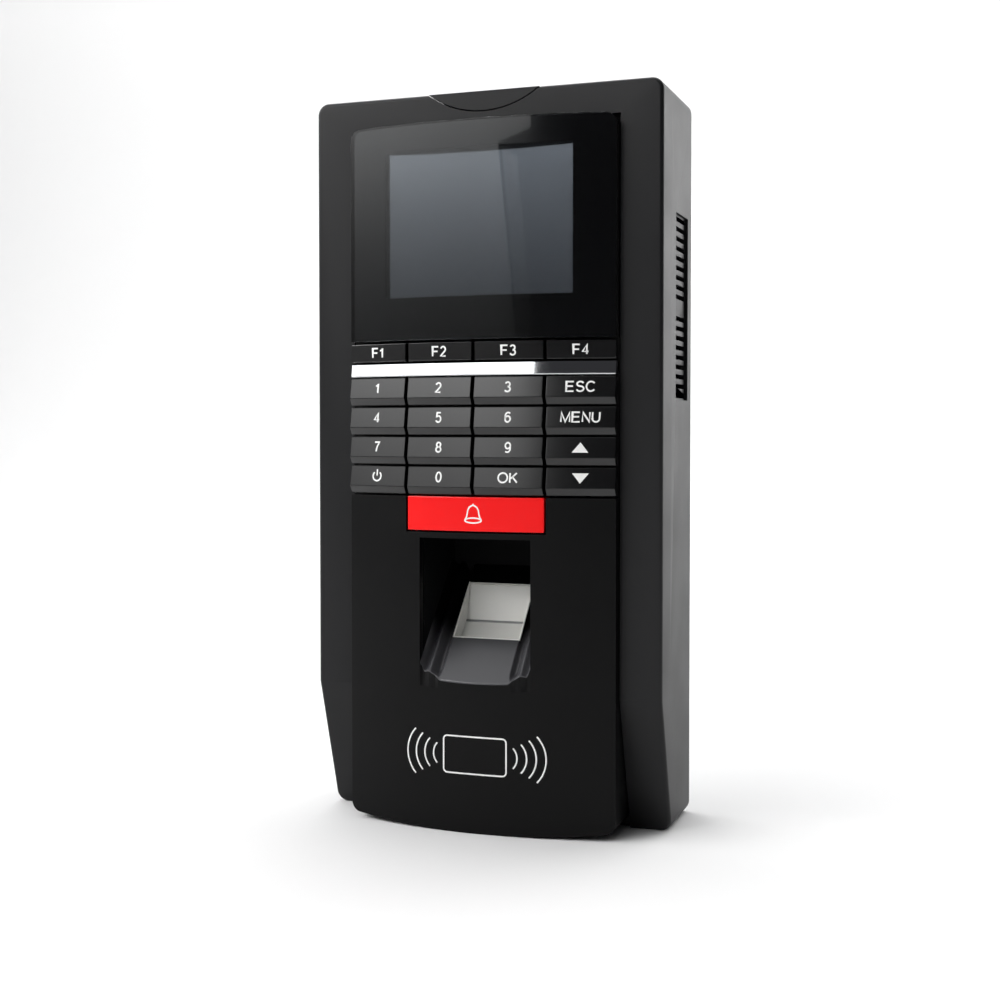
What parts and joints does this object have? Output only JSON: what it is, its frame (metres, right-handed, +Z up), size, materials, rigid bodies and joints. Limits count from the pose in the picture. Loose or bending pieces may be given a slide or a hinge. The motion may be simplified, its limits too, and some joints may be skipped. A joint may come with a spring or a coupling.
{
  "type": "fingerprint scanner terminal",
  "caption": "Wall terminal with a recessed fingerprint reader, card reader, small colour display and push-key pad, with a steel wall plate behind.",
  "frame": {"origin": "centre of the wall plate's four screw holes, in the plane of the wall", "axes": "+Z up, +X to the viewer's right when facing the terminal, +Y into the wall; the front faces -Y"},
  "size_m": [0.0926, 0.0401, 0.186],
  "materials": {
    "case_plastic": "fine spark-textured black ABS",
    "key_plastic": "semi-gloss black ABS",
    "red_key": "semi-gloss red ABS",
    "lens_plastic": "polished acrylic with a black printed border",
    "bright_trim": "bright chromed ABS",
    "silicone": "grey silicone rubber",
    "board": "green solder resist on glass epoxy",
    "well_plastic": "satin black ABS",
    "prism_glass": "polished optical glass",
    "chip": "moulded black epoxy",
    "display_glass": "grey display glass, unlit",
    "steel": "zinc-plated sheet steel",
    "screw_steel": "zinc-plated steel",
    "relay_case": "blue moulded case",
    "can_aluminium": "drawn aluminium can",
    "header_nylon": "natural nylon",
    "film": "amber polyimide film"
  },
  "bodies": {
    "case": {"front_shell": "case_plastic", "rear_shell": "case_plastic", "centre_panel": "case_plastic", "display_lens": "lens_plastic", "trim_strip": "bright_trim", "keypad_mat": "silicone", "keypad_board": "board", "finger_well": "well_plastic", "sensor_prism": "prism_glass", "sensor_housing": "well_plastic", "sensor_board": "board", "sensor_camera": "chip", "display_module": "display_glass", "display_frame": "steel", "main_board": "board", "card_antenna": "board", "processor": "chip", "memory_chips": "chip", "lock_relay": "relay_case", "network_transformer": "chip", "clock_battery": "steel", "smoothing_capacitors": "can_aluminium", "wire_headers": "header_nylon", "usb_socket": "steel", "speaker": "chip", "wall_plate": "steel", "shell_screws": "screw_steel", "board_screws": "screw_steel", "security_screw": "screw_steel", "display_lead": "film", "keypad_lead": "film", "sensor_lead": "film"},
    "key_one": {"key_one": "key_plastic"},
    "key_two": {"key_two": "key_plastic"},
    "key_three": {"key_three": "key_plastic"},
    "key_escape": {"key_escape": "key_plastic"},
    "key_four": {"key_four": "key_plastic"},
    "key_five": {"key_five": "key_plastic"},
    "key_six": {"key_six": "key_plastic"},
    "key_menu": {"key_menu": "key_plastic"},
    "key_seven": {"key_seven": "key_plastic"},
    "key_eight": {"key_eight": "key_plastic"},
    "key_nine": {"key_nine": "key_plastic"},
    "key_up": {"key_up": "key_plastic"},
    "key_power": {"key_power": "key_plastic"},
    "key_zero": {"key_zero": "key_plastic"},
    "key_enter": {"key_enter": "key_plastic"},
    "key_down": {"key_down": "key_plastic"},
    "soft_key_1": {"soft_key_1": "key_plastic"},
    "soft_key_2": {"soft_key_2": "key_plastic"},
    "soft_key_3": {"soft_key_3": "key_plastic"},
    "soft_key_4": {"soft_key_4": "key_plastic"},
    "bell_key": {"bell_key": "red_key"},
    "port_cover": {"port_cover": "case_plastic"}
  },
  "joints": [
    {"name": "key_one_press", "type": "slide", "parent": "case", "child": "key_one", "axis": [0, 1, 0], "range_m": [0, 0.0008], "stiffness_N_per_m": 1900},
    {"name": "key_two_press", "type": "slide", "parent": "case", "child": "key_two", "axis": [0, 1, 0], "range_m": [0, 0.0008], "stiffness_N_per_m": 1900},
    {"name": "key_three_press", "type": "slide", "parent": "case", "child": "key_three", "axis": [0, 1, 0], "range_m": [0, 0.0008], "stiffness_N_per_m": 1900},
    {"name": "key_escape_press", "type": "slide", "parent": "case", "child": "key_escape", "axis": [0, 1, 0], "range_m": [0, 0.0008], "stiffness_N_per_m": 1900},
    {"name": "key_four_press", "type": "slide", "parent": "case", "child": "key_four", "axis": [0, 1, 0], "range_m": [0, 0.0008], "stiffness_N_per_m": 1900},
    {"name": "key_five_press", "type": "slide", "parent": "case", "child": "key_five", "axis": [0, 1, 0], "range_m": [0, 0.0008], "stiffness_N_per_m": 1900},
    {"name": "key_six_press", "type": "slide", "parent": "case", "child": "key_six", "axis": [0, 1, 0], "range_m": [0, 0.0008], "stiffness_N_per_m": 1900},
    {"name": "key_menu_press", "type": "slide", "parent": "case", "child": "key_menu", "axis": [0, 1, 0], "range_m": [0, 0.0008], "stiffness_N_per_m": 1900},
    {"name": "key_seven_press", "type": "slide", "parent": "case", "child": "key_seven", "axis": [0, 1, 0], "range_m": [0, 0.0008], "stiffness_N_per_m": 1900},
    {"name": "key_eight_press", "type": "slide", "parent": "case", "child": "key_eight", "axis": [0, 1, 0], "range_m": [0, 0.0008], "stiffness_N_per_m": 1900},
    {"name": "key_nine_press", "type": "slide", "parent": "case", "child": "key_nine", "axis": [0, 1, 0], "range_m": [0, 0.0008], "stiffness_N_per_m": 1900},
    {"name": "key_up_press", "type": "slide", "parent": "case", "child": "key_up", "axis": [0, 1, 0], "range_m": [0, 0.0008], "stiffness_N_per_m": 1900},
    {"name": "key_power_press", "type": "slide", "parent": "case", "child": "key_power", "axis": [0, 1, 0], "range_m": [0, 0.0008], "stiffness_N_per_m": 1900},
    {"name": "key_zero_press", "type": "slide", "parent": "case", "child": "key_zero", "axis": [0, 1, 0], "range_m": [0, 0.0008], "stiffness_N_per_m": 1900},
    {"name": "key_enter_press", "type": "slide", "parent": "case", "child": "key_enter", "axis": [0, 1, 0], "range_m": [0, 0.0008], "stiffness_N_per_m": 1900},
    {"name": "key_down_press", "type": "slide", "parent": "case", "child": "key_down", "axis": [0, 1, 0], "range_m": [0, 0.0008], "stiffness_N_per_m": 1900},
    {"name": "soft_key_1_press", "type": "slide", "parent": "case", "child": "soft_key_1", "axis": [0, 1, 0], "range_m": [0, 0.0008], "stiffness_N_per_m": 1900},
    {"name": "soft_key_2_press", "type": "slide", "parent": "case", "child": "soft_key_2", "axis": [0, 1, 0], "range_m": [0, 0.0008], "stiffness_N_per_m": 1900},
    {"name": "soft_key_3_press", "type": "slide", "parent": "case", "child": "soft_key_3", "axis": [0, 1, 0], "range_m": [0, 0.0008], "stiffness_N_per_m": 1900},
    {"name": "soft_key_4_press", "type": "slide", "parent": "case", "child": "soft_key_4", "axis": [0, 1, 0], "range_m": [0, 0.0008], "stiffness_N_per_m": 1900},
    {"name": "bell_key_press", "type": "slide", "parent": "case", "child": "bell_key", "axis": [0, 1, 0], "range_m": [0, 0.0008], "stiffness_N_per_m": 1900},
    {"name": "port_cover_lift", "type": "slide", "parent": "case", "child": "port_cover", "axis": [0, 0, 1], "range_m": [0, 0.014]}
  ]
}
